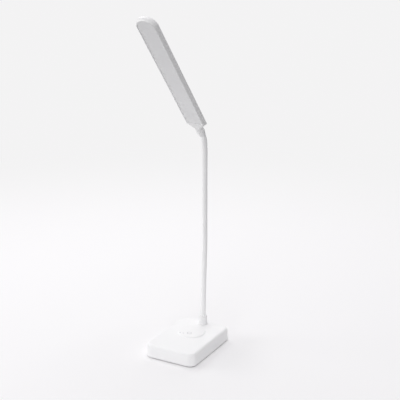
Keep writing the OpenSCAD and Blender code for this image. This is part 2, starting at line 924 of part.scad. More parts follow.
module post(from) {
    translate(from)
        rotate([-90, 0, 0])
            cylinder(h = back_y - head_wall / 2 - from[1], d = head_post_d, $fn = round_fn);
}

// A hole along Y for a small screw
module screw_hole(x, y, z, len_y, room) {
    translate([x, y - snug, z])
        rotate([-90, 0, 0])
            cylinder(h = len_y, d = small_screw_d + 2 * room, $fn = round_fn);
}

module head_back() {
    color(white)
        in_head()
            difference() {
                union() {
                    difference() {
                        head_outside();
                        head_hollow();
                        translate([-head_w, -head_t, back_start_z])
                            cube([2 * head_w, head_t + split_y + seam_w / 2, head_len]);
                    }
                    spigot();
                    head_posts();
                }
                translate([0, 0, -cut])
                    cylinder(h = head_socket_z + 2 * cut, d = socket_d, $fn = round_fn);
                translate([0, 0, head_socket_z])
                    cylinder(h = ferrule_end_z - head_socket_z, d = head_ferrule_bore, $fn = round_fn);
                cylinder(h = slab_z, d = tail_tube_d + 2 * fit, $fn = round_fn);
                for (z = led_screw_places)
                    screw_hole(0, led_board_back_y, z, led_screw_len - led_board_t + fit, snug);
                for (x = [-clamp_screw_x, clamp_screw_x])
                    screw_hole(x, clamp_tab_y + clamp_tab_t, clamp_z + clamp_l / 2,
                               clamp_screw_depth + fit, snug);
            }
}

module head_frame() {
    color(white)
        in_head()
            difference() {
                intersection() {
                    head_outside();
                    translate([-head_w, -head_t, back_start_z + seam_w])
                        cube([2 * head_w, head_t + split_y - seam_w / 2, head_len]);
                }
                head_hollow();
                face_plate(rim_w + ledge_w, -head_t, head_t);
                face_plate(rim_w, -head_t, head_t + face_y + rebate);
                cylinder(h = slab_z, d = tail_tube_d + 2 * fit, $fn = round_fn);
            }
}

// The outline of the head's face, drawn in by an inset, as a plate from level y
module face_plate(inset, y, t) {
    r = 1.6;
    translate([0, y + t, 0])
        rotate([90, 0, 0])
            linear_extrude(height = t)
                hull() {
                    translate([0, tip_z])
                        circle(r = tip_r - inset, $fn = round_fn);
                    for (x = [-1, 1])
                        translate([x * (shoulder_w / 2 - inset - r), slab_z + shoulder_corner_r + inset])
                            circle(r = r, $fn = hull_fn);
                }
}

module diffuser() {
    color(milky)
        in_head()
            face_plate(rim_w + diffuser_gap, face_y + diffuser_recess, diffuser_t);
}

module led_board() {
    color(white)
        in_head()
            difference() {
                translate([-led_board_w / 2, led_board_face_y, led_board_start])
                    cube([led_board_w, led_board_t - snug, led_board_end - led_board_start]);
                for (z = led_screw_places)
                    screw_hole(0, led_board_face_y, z, led_board_t + cut, fit);
            }
}

function led_z(k) = led_board_start + led_margin + led_pitch * k;

module each_led() {
    for (k = [0:leds_in_row - 1], x = [-led_row_x, led_row_x])
        translate([x, 0, led_z(k)])
            children();
}

module leds() {
    color(led_yellow)
        in_head()
            each_led()
                translate([-led_w / 2, led_board_face_y - led_h, -led_l / 2])
                    cube([led_w, led_h, led_l]);
}

module reflector() {
    color(white)
        in_head()
            difference() {
                translate([-led_board_w / 2, led_board_face_y - reflector_t, led_board_start])
                    cube([led_board_w, reflector_t, led_board_end - led_board_start]);
                each_led()
                    translate([-led_w / 2 - fit, led_board_face_y - cut, -led_l / 2 - fit])
                        cube([led_w + 2 * fit, 2 * cut, led_l + 2 * fit]);
                for (z = led_screw_places)
                    screw_hole(0, led_board_face_y - cut, z, 2 * cut, small_head_d / 2);
            }
}

// A small screw that lies along Y, its head in front of level y
module small_screw(x, y, z, shank_len) {
    translate([x, y, z])
        rotate([-90, 0, 0]) {
            translate([0, 0, -small_head_h])
                cylinder(h = small_head_h, d = small_head_d, $fn = round_fn);
            translate([0, 0, -snug])
                cylinder(h = shank_len + snug, d = small_screw_d, $fn = round_fn);
        }
}

module led_screws() {
    color(steel)
        in_head()
            for (z = led_screw_places)
                small_screw(0, led_board_face_y - snug, z, led_screw_len);
}

module upper_ferrule() {
    color(steel)
        in_head()
            difference() {
                union() {
                    translate([0, 0, head_socket_z + snug])
                        cylinder(h = ferrule_end_z - head_socket_z - 2 * snug, d = ferrule_d, $fn = round_fn);
                    translate([0, 0, ferrule_end_z - cut])
                        cylinder(h = tail_tube_end - ferrule_end_z + cut, d = tail_tube_d, $fn = round_fn);
                }
                cylinder(h = neck_end_z + snug, d = socket_d, $fn = round_fn);
                cylinder(h = tail_tube_end + cut, d = tail_tube_bore, $fn = round_fn);
            }
}

// A saddle over the ferrule's tail, with a tab on each side
module ferrule_clamp() {
    saddle_r = tail_tube_d / 2 + clamp_wall;
    color(steel)
        in_head()
            difference() {
                translate([0, 0, clamp_z])
                    union() {
                        cylinder(h = clamp_l, r = saddle_r, $fn = round_fn);
                        translate([-clamp_w / 2, clamp_tab_y, 0])
                            cube([clamp_w, clamp_tab_t - snug, clamp_l]);
                    }
                translate([0, 0, clamp_z - cut])
                    cylinder(h = clamp_l + 2 * cut, d = tail_tube_d + 2 * snug, $fn = round_fn);
                translate([-clamp_w, clamp_tab_y + clamp_tab_t - snug, clamp_z - cut])
                    cube([2 * clamp_w, head_t, clamp_l + 2 * cut]);
                for (x = [-clamp_screw_x, clamp_screw_x])
                    screw_hole(x, clamp_tab_y - cut, clamp_z + clamp_l / 2, 3 * cut, fit);
            }
}

module clamp_screws() {
    color(steel)
        in_head()
            for (x = [-clamp_screw_x, clamp_screw_x])
                small_screw(x, clamp_tab_y - snug, clamp_z + clamp_l / 2, clamp_tab_t + clamp_screw_depth);
}

module head_leads() {
    pad_y = led_board_face_y - reflector_t - snug - wire_d / 2;
    color(wire_red)
        in_head()
            for (side = [-1, 1])
                wire([[side * wire_x, 0, neck_end_z + snug], [side * wire_x, 0, tail_tube_end + fit],
                      [side * lead_pad_x, pad_y, led_board_start - wire_d],
                      [side * lead_pad_x, pad_y, led_board_start + lead_pad_l]], wire_d);
}

base_cover();
base_plate();
non_slip_pad();
base_screws();
ballast_plate();
battery();
battery_pad();
control_board();
board_chips();
board_screws();
usb_socket();
touch_electrode();
touch_lead();
power_mark();
indicator_lights();
battery_leads();
lamp_leads();
lower_ferrule();
neck_washer();
neck_nut();
neck_collar();
for (i = [1:lengths]) neck_sleeve(i);
for (i = [1:lengths]) neck_core(i);
head_back();
head_frame();
diffuser();
reflector();
led_board();
leds();
led_screws();
upper_ferrule();
ferrule_clamp();
clamp_screws();
head_leads();
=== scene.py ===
import json
import math

import bmesh
import bpy
from mathutils import Matrix, Vector


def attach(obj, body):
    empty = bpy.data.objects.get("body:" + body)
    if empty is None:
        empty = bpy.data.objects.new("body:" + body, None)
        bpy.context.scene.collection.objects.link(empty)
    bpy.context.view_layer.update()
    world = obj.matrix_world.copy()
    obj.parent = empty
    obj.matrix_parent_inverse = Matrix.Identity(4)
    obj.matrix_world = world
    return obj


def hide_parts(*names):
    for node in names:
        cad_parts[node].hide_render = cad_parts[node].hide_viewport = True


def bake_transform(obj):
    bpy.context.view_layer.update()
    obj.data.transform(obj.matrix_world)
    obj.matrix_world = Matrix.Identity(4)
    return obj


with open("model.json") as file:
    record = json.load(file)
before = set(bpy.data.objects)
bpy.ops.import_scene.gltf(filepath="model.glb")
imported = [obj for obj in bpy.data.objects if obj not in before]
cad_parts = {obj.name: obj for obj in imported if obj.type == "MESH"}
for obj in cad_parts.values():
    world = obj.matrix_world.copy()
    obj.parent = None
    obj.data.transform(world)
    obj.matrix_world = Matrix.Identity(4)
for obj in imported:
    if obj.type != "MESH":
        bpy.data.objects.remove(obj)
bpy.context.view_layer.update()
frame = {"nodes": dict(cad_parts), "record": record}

MM = 0.001
record = frame["record"]
joints = record["behaviour"]["joints"]
joint_places = [Vector(joint["pos_m"]) / MM for joint in joints]

# Sizes in millimetres and degrees, as in the part's source
BASE_W, BASE_D, BASE_H = 73.4, 103.0, 17.9
BASE_CORNER, BASE_FOOT, BASE_DRAFT, BASE_LOW = 10.0, 0.8, 0.5, 0.8
COVER_WALL = 2.0
SCREW_X, SCREW_Y, SCREW_HOLE_R, SCREW_TOP = 29.14, 43.94, 1.35, 10.45
BOSS_R, BOSS_FOOT = 3.2, 4.3
BUTTON_R, BUTTON_H, BUTTON_EDGE, BUTTON_Y = 18.5, 1.2, 2.8, 10.0
MARK_D, MARK_LINE, MARK_OPENING, MARK_Y = 6.4, 0.8, 70.0, 4.0
PIPE_PLACES, PIPE_Y, PIPE_D = (-11.84, -7.03), 0.01, 1.6
SOCKET_X, SOCKET_Z, SOCKET_W, SOCKET_H = -17.0, 9.0, 9.3, 3.5
NECK_Y, NECK_HOLE_R = 41.5, 4.15
COLLAR_TOP, COLLAR_FOOT_R, COLLAR_R = 30.4, 6.9, 5.4
SLEEVE_END_R, MOUTH_GAP = 3.5, 3.5
HEAD_T, HEAD_WALL, HEAD_EDGE, HEAD_TILT = 8.6, 1.4, 1.2, 39.0
SPLIT_Y, SPIGOT_END = -0.344, 16.1
TIP_R, TIP_Z = 13.5, 208.5
SHOULDER_X, CORNER_R, CORNER_Z = 12.8, 2.6, 30.1
CORNER_X = SHOULDER_X - CORNER_R
POST_PLACES, CLAMP_X, CLAMP_Z = (45.85, 121.99, 198.14), 4.1, 24.65
RIM_W, DIFFUSER_GAP, DIFFUSER_RECESS, DIFFUSER_T = 2.2, 0.12, 0.5, 1.2

# Sizes of forms that are softer here than in the part's source
SOFT_EDGE = 3.2
SLEEVE_MID_R, SLEEVE_EASE = 3.2, 60.0
SEAM, FRONT_DRAFT, BACK_DRAFT, BACK_EDGE = 0.4, 0.5, 0.1, 1.8
SHOULDER_SLOPE, WAIST_X, WAIST_R = 6.0, 4.8, 4.7

SINK = 0.02          # how far a piece goes into the face that it stands on
OVERRUN = 1.0        # how far a cutter goes past the face that it cuts
SHARP_ANGLE, CAD_SHARP_ANGLE = 32.0, 30.0

across_way = Vector((1, 0, 0))
up_way = Vector((0, 0, 1))
tilt = math.radians(HEAD_TILT)
head_up = Vector((0, -math.sin(tilt), math.cos(tilt)))
head_back_way = Vector((0, math.cos(tilt), math.sin(tilt)))
mouth = joint_places[-1] + MOUTH_GAP * head_up


# ---------------------------------------------------------------- curves

def clamp(t):
    return min(max(t, 0.0), 1.0)


def soft_step(t):
    """0 to 1 with a soft start and a soft end."""
    return t * t * (3 - 2 * t)


def full_turn(steps):
    """Even angles round a circle."""
    return [2 * math.pi * k / steps for k in range(steps)]


def arc(cx, cz, r, start, end, steps):
    """Points on a round stretch from one angle to another, in degrees."""
    return [(cx + r * math.cos(math.radians(start + (end - start) * k / steps)),
             cz + r * math.sin(math.radians(start + (end - start) * k / steps)))
            for k in range(steps + 1)]


def bezier(points, steps):
    """Points on a Bezier curve of any degree."""
    out = []
    for k in range(steps + 1):
        t, now = k / steps, [Vector(p) for p in points]
        while len(now) > 1:
            now = [a.lerp(b, t) for a, b in zip(now, now[1:])]
        out.append(now[0])
    return out


def through(points, steps):
    """A smooth curve through points, after Catmull and Rom."""
    p = [Vector(q) for q in points]
    p = [2 * p[0] - p[1]] + p + [2 * p[-1] - p[-2]]
    out = []
    for i in range(1, len(p) - 2):
        for k in range(steps):
            t = k / steps
            out.append(0.5 * (2 * p[i] + (p[i + 1] - p[i - 1]) * t
                              + (2 * p[i - 1] - 5 * p[i] + 4 * p[i + 1] - p[i + 2]) * t * t
                              + (3 * p[i] - p[i - 1] - 3 * p[i + 1] + p[i + 2]) * t ** 3))
    out.append(p[-2])
    return out


# ---------------------------------------------------------------- meshes

def to_head(x, y, z):
    """A point of the head's own frame, in the lamp's frame."""
    return mouth + Vector((x, 0, 0)) + y * head_back_way + z * head_up


def add_object(name, data):
    obj = bpy.data.objects.new(name, data)
    bpy.context.collection.objects.link(obj)
    return obj


def smooth(obj, sharp=SHARP_ANGLE):
    mesh = obj.data
    mesh.polygons.foreach_set("use_smooth", [True] * len(mesh.polygons))
    mesh.set_sharp_from_angle(angle=math.radians(sharp))
    mesh.update()


class Shape:
    """Points in millimetres and faces, gathered before they become one mesh."""

    def __init__(self, place=lambda x, y, z: Vector((x, y, z))):
        self.points, self.faces, self.place = [], [], place

    def ring(self, points):
        """Adds points in a row and gives their numbers."""
        first = len(self.points)
        self.points += [self.place(*p) for p in points]
        return list(range(first, len(self.points)))

    def bridge(self, a, b, closed=True):
        """Adds the faces between two rings of points."""
        n = len(a)
        for i in range(n if closed else n - 1):
            k = (i + 1) % n
            self.faces.append((a[i], a[k], b[k], b[i]))

    def loft(self, rings, cap_first=True, cap_last=True):
        """A skin over closed rings, with its ends closed or open."""
        made = [self.ring(r) for r in rings]
        for a, b in zip(made, made[1:]):
            self.bridge(a, b)
        if cap_first:
            self.faces.append(tuple(reversed(made[0])))
        if cap_last:
            self.faces.append(tuple(made[-1]))

    def lathe(self, profile, at, steps, cap_first=True, cap_last=True):
        """A profile of radii and heights, turned round the upright line at a place."""
        self.loft([[(at[0] + r * math.cos(a), at[1] + r * math.sin(a), z)
                    for a in full_turn(steps)] for r, z in profile], cap_first, cap_last)

    def piece(self, name):
        """Makes the gathered shape an object, in metres."""
        mesh = bpy.data.meshes.new(name)
        mesh.from_pydata([p * MM for p in self.points], [], self.faces)
        mesh.validate()
        bm = bmesh.new()
        bm.from_mesh(mesh)
        bmesh.ops.remove_doubles(bm, verts=bm.verts, dist=1e-7)
        bmesh.ops.recalc_face_normals(bm, faces=bm.faces)
        bm.to_mesh(mesh)
        bm.free()
        obj = add_object(name, mesh)
        smooth(obj)
        return obj


def apply_modifiers(obj):
    """Turns an object's modifiers into its own mesh."""
    bpy.context.view_layer.update()
    graph = bpy.context.evaluated_depsgraph_get()
    mesh = bpy.data.meshes.new_from_object(obj.evaluated_get(graph))
    mesh.name = obj.name
    obj.modifiers.clear()
    obj.data = mesh
    smooth(obj)


def cut(obj, cutter):
    """Takes the cutter's shape out of obj."""
    tool = obj.modifiers.new("cut", "BOOLEAN")
    tool.operation, tool.solver, tool.object = "DIFFERENCE", "EXACT", cutter
    apply_modifiers(obj)
    bpy.data.objects.remove(cutter, do_unlink=True)


# ---------------------------------------------------------------- node helpers

def set_inputs(node, values):
    """Sets a node's inputs by their names."""
    for name, value in values.items():
        node.inputs[name].default_value = value


def map_range(nodes, links, value, values):
    n = nodes.new("ShaderNodeMapRange")
    set_inputs(n, values)
    links.new(value, n.inputs["Value"])
    return n


def mix_colours(nodes, links, factor, first, second):
    """A mix of two colours. The first may be the output of another node."""
    mix = nodes.new("ShaderNodeMix")
    mix.data_type = "RGBA"
    links.new(factor, mix.inputs["Factor"])
    if isinstance(first, tuple):
        mix.inputs["A"].default_value = first
    else:
        links.new(first, mix.inputs["A"])
    mix.inputs["B"].default_value = second
    return mix.outputs["Result"]


def mix_shaders(nodes, links, factor, first, second):
    mix = nodes.new("ShaderNodeMixShader")
    links.new(factor, mix.inputs["Fac"])
    links.new(first.outputs[0], mix.inputs[1])
    links.new(second.outputs[0], mix.inputs[2])
    return mix


# ---------------------------------------------------------------- materials

GRAIN_DEPTH = 0.02                         # mm
GLOSS_CHANGE, GLOSS_PATCH = 0.05, 0.35     # up or down, in patches this share of the tone's
LEAST_ROUGH = 0.02
EDGE_BEGINS, EDGE_FULL = 0.53, 0.62        # pointiness at which an edge begins to be rubbed
RUB_GAIN, RUB_LIFT = 1.35, 0.04            # how much paler a rubbed edge is

finishes = {}


def surface(name, colour, rough, grain, grain_mm, vary, patch_mm=18.0, metal=0.0, ior=1.5,
            soft=0.0, soft_mm=1.0, coat=0.0, coat_rough=0.2, wear=0.0):
    """A moulded, drawn or coated surface: broad faint changes of tone and gloss, a fine grain,
    and, with wear, slightly rubbed edges."""
    m = finishes[name] = bpy.data.materials.new(name)
    m.use_nodes = True
    m.diffuse_color = (*colour, 1)
    nodes, links = m.node_tree.nodes, m.node_tree.links
    shader = nodes["Principled BSDF"]
    set_inputs(shader, {"Metallic": metal, "IOR": ior})
    if coat:
        set_inputs(shader, {"Coat Weight": coat, "Coat Roughness": coat_rough})
    if soft:
        set_inputs(shader, {"Subsurface Weight": soft, "Subsurface Radius": (soft_mm * MM,) * 3,
                            "Subsurface Scale": 1.0})
    where = nodes.new("ShaderNodeTexCoord").outputs["Object"]

    def noise(size_mm, detail):
        n = nodes.new("ShaderNodeTexNoise")
        set_inputs(n, {"Scale": 1.0 / (size_mm * MM), "Detail": detail})
        links.new(where, n.inputs["Vector"])
        return n.outputs["Fac"]

    low = tuple(c * (1 - vary) for c in colour)
    high = tuple(min(1.0, c * (1 + vary)) for c in colour)
    tone = mix_colours(nodes, links, noise(patch_mm, 3.0), (*low, 1), (*high, 1))
    if wear:
        edges = map_range(nodes, links, nodes.new("ShaderNodeNewGeometry").outputs["Pointiness"],
                          {"From Min": EDGE_BEGINS, "From Max": EDGE_FULL, "To Max": wear})
        rubbed = tuple(min(1.0, c * RUB_GAIN + RUB_LIFT) for c in colour)
        tone = mix_colours(nodes, links, edges.outputs["Result"], tone, (*rubbed, 1))
    links.new(tone, shader.inputs["Base Color"])
    gloss = map_range(nodes, links, noise(patch_mm * GLOSS_PATCH, 4.0),
                      {"To Min": max(LEAST_ROUGH, rough - GLOSS_CHANGE),
                       "To Max": min(1.0, rough + GLOSS_CHANGE)})
    links.new(gloss.outputs["Result"], shader.inputs["Roughness"])
    bump = nodes.new("ShaderNodeBump")
    set_inputs(bump, {"Strength": grain, "Distance": GRAIN_DEPTH * MM})
    links.new(noise(grain_mm, 2.0), bump.inputs["Height"])
    links.new(bump.outputs["Normal"], shader.inputs["Normal"])


# name, colour, roughness, grain and its size in mm, change of tone and its patches in mm
surface("white_plastic", (0.90, 0.90, 0.905), 0.42, 0.3, 0.35, 0.008, ior=1.46)
surface("white_sleeve", (0.94, 0.94, 0.945), 0.40, 0.25, 0.5, 0.012, ior=1.42, soft=0.15,
        soft_mm=0.8)
surface("milky_diffuser", (0.86, 0.86, 0.87), 0.45, 0.15, 0.25, 0.006, 40.0, soft=0.25,
        soft_mm=2.0)
surface("reflector_sheet", (0.93, 0.93, 0.93), 0.75, 0.3, 0.2, 0.01)
surface("grey_rubber", (0.30, 0.305, 0.31), 0.82, 1.0, 0.5, 0.06, 9.0, wear=0.3)
surface("dark_steel", (0.16, 0.165, 0.175), 0.38, 0.3, 0.4, 0.08, 3.0, metal=1.0, wear=0.5)
surface("steel", (0.62, 0.63, 0.65), 0.30, 0.25, 0.3, 0.05, 4.0, metal=1.0, wear=0.3)
surface("neck_steel", (0.55, 0.56, 0.58), 0.34, 0.5, 0.4, 0.05, 4.0, metal=1.0)
surface("battery_foil", (0.66, 0.68, 0.70), 0.33, 0.8, 1.6, 0.05, 6.0, metal=0.85)
surface("green_board", (0.02, 0.16, 0.06), 0.32, 0.4, 0.3, 0.12, 5.0, coat=0.4)
surface("white_board", (0.86, 0.86, 0.84), 0.38, 0.3, 0.3, 0.02, 7.0, coat=0.3)
surface("black_chips", (0.02, 0.02, 0.022), 0.48, 0.6, 0.15, 0.2, 2.0, wear=0.2)
surface("led_yellow", (0.88, 0.72, 0.22), 0.22, 0.1, 0.2, 0.04, 1.0, coat=0.6, coat_rough=0.05)
surface("copper_foil", (0.80, 0.42, 0.24), 0.30, 0.4, 0.5, 0.05, 3.0, metal=1.0)
surface("red_lead", (0.52, 0.03, 0.02), 0.42, 0.2, 0.3, 0.06, 2.0)
surface("grey_mark", (0.58, 0.58, 0.60), 0.45, 0.2, 0.2, 0.02, 2.0)
surface("light_pipe", (0.66, 0.66, 0.69), 0.20, 0.1, 0.2, 0.02, 1.0, soft=0.3, soft_mm=0.6,
        coat=0.3, coat_rough=0.1)

for part in record["subparts"]:
    node = frame["nodes"][part["node"]]
    node.data.materials.clear()
    node.data.materials.append(finishes[part["material_slot"]])
    smooth(node, CAD_SHARP_ANGLE)


def finish_piece(obj, slot, body=None, replaced=()):
    """Gives a piece its finish, the body it rides on and the nodes it stands for."""
    obj.data.materials.clear()
    obj.data.materials.append(finishes[slot])
    if body:
        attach(obj, body)
    if replaced:
        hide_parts(*replaced)


# ---------------------------------------------------------------- base cover

CORNER_STEPS, SIDE_STEPS, FOOT_STEPS, EDGE_STEPS = 18, 7, 7, 18
FILLET_STEPS, BUTTON_STEPS = 6, 16
LEAST_CORNER = 0.3
WALL_CHAMFER, FOOT_LAND = 0.2, 0.15        # at the wall's lower edge: inside, and beside the foot
FILLET_RUN, FILLET_PULL, FILLET_SHARE = 0.4, 0.135, 0.3
# Rings that lie in straight faces near their edges, so that the shading stays even
SIDE_GUIDES, TOP_GUIDES, FOOT_GUIDE, FLAT_GUIDE = (0.7, 0.6), (0.5, 2.5), 1.2, 0.5

foot_top, edge_foot = BASE_LOW + BASE_FOOT, BASE_H - SOFT_EDGE
ceiling, button_top = BASE_H - COVER_WALL, BASE_H + BUTTON_H


def lean(z):
    """How far the base's outer face has leaned in at level z."""
    return BASE_DRAFT * clamp((z - foot_top) / (edge_foot - foot_top))


def soft_rectangle(inset, z):
    """A ring round the base's outline, drawn in by an inset."""
    w, d, r = BASE_W / 2 - inset, BASE_D / 2 - inset, max(BASE_CORNER - inset, LEAST_CORNER)
    quarters = ((1, 1), (-1, 1), (-1, -1), (1, -1))
    points = []
    for k, (sx, sy) in enumerate(quarters):
        points += [(x, y, z) for x, y in arc(sx * (w - r), sy * (d - r), r,
                                             90 * k, 90 * k + 90, CORNER_STEPS)]
        nx, ny = quarters[(k + 1) % 4]
        turn = math.radians(90 * k + 90)
        here = Vector(points[-1])
        there = Vector((nx * (w - r) + r * math.cos(turn), ny * (d - r) + r * math.sin(turn), z))
        points += [tuple(here.lerp(there, s / SIDE_STEPS)) for s in range(1, SIDE_STEPS)]
    return points


outline_turns = [math.atan2(y - BUTTON_Y, x) for x, y, _ in soft_rectangle(0, 0)]


def button_ring(r, z):
    """A ring round the button's centre whose points lie in line with those of the outline."""
    return [(r * math.cos(a), BUTTON_Y + r * math.sin(a), z) for a in outline_turns]


# From the ceiling of the button's pocket, down inside, round the wall's foot, up outside and
# over the top. The button's edge is a quarter of an ellipse that starts from a small fillet
flat_r = BUTTON_R - BUTTON_EDGE
fillet_r = flat_r + BUTTON_EDGE * math.sqrt(1 - FILLET_SHARE ** 2)
fillet_turn = math.degrees(math.asin(FILLET_SHARE))
rings = [
    button_ring(BUTTON_R - COVER_WALL, ceiling + BUTTON_H),
    button_ring(BUTTON_R - COVER_WALL, ceiling),
    soft_rectangle(COVER_WALL, ceiling),
    soft_rectangle(COVER_WALL, BASE_LOW + WALL_CHAMFER),
    soft_rectangle(COVER_WALL - WALL_CHAMFER, BASE_LOW),
    soft_rectangle(BASE_FOOT + FOOT_LAND, BASE_LOW),
]
rings += [soft_rectangle(BASE_FOOT + x, z)
          for x, z in arc(0, foot_top, BASE_FOOT, 270, 180, FOOT_STEPS)]
rings += [soft_rectangle(lean(z), z)
          for z in (foot_top + SIDE_GUIDES[0], BASE_H / 2, edge_foot - SIDE_GUIDES[1])]
rings += [soft_rectangle(BASE_DRAFT + SOFT_EDGE + x, z)
          for x, z in arc(0, edge_foot, SOFT_EDGE, 180, 90, EDGE_STEPS)]
rings += [soft_rectangle(BASE_DRAFT + SOFT_EDGE + x, BASE_H) for x in TOP_GUIDES]
rings += [button_ring(BUTTON_R + FOOT_GUIDE, BASE_H)]
rings += [button_ring(p.x, BASE_H + p.y)
          for p in bezier([(BUTTON_R + FILLET_RUN, 0), (BUTTON_R + FILLET_PULL, 0),
                           (fillet_r, FILLET_SHARE * BUTTON_H)], FILLET_STEPS)]
for k in range(1, BUTTON_STEPS + 1):
    a = math.radians(fillet_turn + (90 - fillet_turn) * k / BUTTON_STEPS)
    rings.append(button_ring(flat_r + BUTTON_EDGE * math.cos(a), BASE_H + BUTTON_H * math.sin(a)))
rings += [button_ring(flat_r - FLAT_GUIDE, button_top)]
cover = Shape()
cover.loft(rings)

BOSS_GAP, HOLE_CHAMFER, BOSS_CHAMFER, BOSS_ROOT, BOSS_STEPS = 0.05, 0.25, 0.2, 0.5, 40
boss_low = BOSS_FOOT + BOSS_GAP
boss = [(SCREW_HOLE_R, SCREW_TOP), (SCREW_HOLE_R, boss_low + HOLE_CHAMFER),
        (SCREW_HOLE_R + HOLE_CHAMFER, boss_low), (BOSS_R - BOSS_CHAMFER, boss_low),
        (BOSS_R, boss_low + BOSS_CHAMFER), (BOSS_R, ceiling - BOSS_ROOT),
        (BOSS_R + BOSS_ROOT, ceiling + SINK)]
for sx in (-1, 1):
    for sy in (-1, 1):
        cover.lathe(boss, (sx * SCREW_X, sy * SCREW_Y), BOSS_STEPS, cap_last=False)
base_shell = cover.piece("base_shell")

# The neck hole, the two light holes, the power mark and the socket's slot are cut out
NECK_HOLE_STEPS, PIPE_STEPS, MARK_STEPS, SLOT_STEPS = 48, 36, 56, 18
PIPE_GAP, PIPE_CHAMFER = 0.05, 0.15
MARK_GAP, MARK_DEPTH = 0.05, 0.4
BUTTON_CUT = 3.0                           # how far these cutters reach past the base's top
SLOT_CHAMFER, SLOT_FLARE = 0.3, 0.5

cutters = Shape()
cutters.lathe([(NECK_HOLE_R, ceiling - OVERRUN), (NECK_HOLE_R, BASE_H + OVERRUN)], (0, NECK_Y),
              NECK_HOLE_STEPS)
pipe_hole_r = PIPE_D / 2 + PIPE_GAP
for x in PIPE_PLACES:
    cutters.lathe([(pipe_hole_r, BASE_H - BUTTON_CUT), (pipe_hole_r, button_top - PIPE_CHAMFER),
                   (pipe_hole_r + PIPE_CHAMFER, button_top),
                   (pipe_hole_r + PIPE_CHAMFER + PIPE_GAP, BASE_H + BUTTON_CUT)],
                  (x, PIPE_Y), PIPE_STEPS)


def mark_outlines():
    """The power mark's open ring and its bar, as two closed lines round their edges."""
    half = math.radians(MARK_OPENING / 2)
    outer, inner = MARK_D / 2 + MARK_GAP, MARK_D / 2 - MARK_LINE - MARK_GAP
    turns = [math.pi / 2 + half + (2 * math.pi - 2 * half) * k / MARK_STEPS
             for k in range(MARK_STEPS + 1)]
    ring = [(outer * math.cos(a), MARK_Y + outer * math.sin(a)) for a in turns]
    ring += [(inner * math.cos(a), MARK_Y + inner * math.sin(a)) for a in reversed(turns)]
    w, low = MARK_LINE / 2 + MARK_GAP, MARK_Y + MARK_D / 5
    high = low + MARK_D / 3 + MARK_GAP
    return ring, [(-w, low), (w, low), (w, high), (-w, high)]


for line in mark_outlines():
    cutters.loft([[(x, y, z) for x, y in line]
                  for z in (button_top - MARK_DEPTH, BASE_H + BUTTON_CUT)])


def slot_ring(grow, y):
    """The socket's slot, drawn out by grow, as a ring at level y."""
    r = SOCKET_H / 2 + grow
    ends = SOCKET_W / 2 - SOCKET_H / 2
    points = [(SOCKET_X + ends + x, y, SOCKET_Z + z) for x, z in arc(0, 0, r, -90, 90, SLOT_STEPS)]
    points += [(SOCKET_X - ends + x, y, SOCKET_Z + z)
               for x, z in arc(0, 0, r, 90, 270, SLOT_STEPS)]
    return points


rear = BASE_D / 2
cutters.loft([slot_ring(0, rear - COVER_WALL - OVERRUN), slot_ring(0, rear - SLOT_CHAMFER),
              slot_ring(SLOT_CHAMFER, rear), slot_ring(SLOT_FLARE, rear + OVERRUN)])
cut(base_shell, cutters.piece("cutters"))
finish_piece(base_shell, "white_plastic", "base", ["base_cover"])


# ---------------------------------------------------------------- collar

COLLAR_BORE, BORE_TAPER = 3.68, 0.02
LIP_GAP, LIP_R = 0.04, 0.46                # the lip holds the sleeve closer than the bore
BORE_DOWN, LIP_LOW, LIP_HIGH = 1.6, 1.2, 0.5   # where bore and lip end, below the top
COLLAR_EDGE, SWEEP_SHARE, SWEEP_POWER = 1.1, 0.62, 1.3
FOOT_WALL, POCKET_TOP, POCKET_SLOPE = 1.35, 1.8, 0.05
LIP_STEPS, COLLAR_EDGE_STEPS, SWEEP_STEPS, COLLAR_STEPS = 6, 12, 40, 96

lip_r, pocket_r = SLEEVE_END_R + LIP_GAP, COLLAR_FOOT_R - FOOT_WALL
profile = [(COLLAR_BORE, BASE_H + POCKET_TOP), (COLLAR_BORE - BORE_TAPER, COLLAR_TOP - BORE_DOWN),
           (lip_r, COLLAR_TOP - LIP_LOW), (lip_r, COLLAR_TOP - LIP_HIGH)]
profile += arc(lip_r + LIP_R, COLLAR_TOP - LIP_R, LIP_R, 180, 90, LIP_STEPS)
profile += arc(COLLAR_R - COLLAR_EDGE, COLLAR_TOP - COLLAR_EDGE, COLLAR_EDGE, 90, 0,
               COLLAR_EDGE_STEPS)
profile += [(COLLAR_R, COLLAR_TOP - 2 * COLLAR_EDGE)]
sweep_h = SWEEP_SHARE * (COLLAR_TOP - BASE_H)
for k in range(SWEEP_STEPS, -1, -1):
    a = math.radians(90 * k / SWEEP_STEPS)
    profile.append((COLLAR_R + (COLLAR_FOOT_R - COLLAR_R) * (1 - math.sin(a)) ** SWEEP_POWER,
                    BASE_H + sweep_h * (1 - math.cos(a))))
profile += [(COLLAR_FOOT_R, BASE_H - SINK), (pocket_r, BASE_H - SINK),
            (pocket_r, BASE_H + POCKET_TOP - POCKET_SLOPE), (COLLAR_BORE, BASE_H + POCKET_TOP)]
collar = Shape()
collar.lathe(profile, (0, NECK_Y), COLLAR_STEPS, False, False)
finish_piece(collar.piece("collar"), "white_plastic", "base", ["neck_collar"])


# ---------------------------------------------------------------- neck sleeve

# One piece of sleeve crosses each joint, from the middle of one length to the middle of the
# next, so the sleeve stays whole and bends softly wherever the neck turns. The first goes down
# into the collar, and the last goes up into the spigot
FIRST_START, LAST_END = 0.3, 0.1           # above the collar, and short of the head's mouth
IN_COLLAR, IN_SPIGOT = (4, 8), (3, 6)      # up from the base's top, and from the mouth
BEND_STEPS, SLEEVE_STEPS = 18, 48

middles = [Vector((0, NECK_Y, COLLAR_TOP + FIRST_START))]
middles += [(a + b) / 2 for a, b in zip(joint_places, joint_places[1:])]
middles += [mouth - LAST_END * head_up]
neck_len = sum((b - a).length for a, b in zip(middles, middles[1:]))


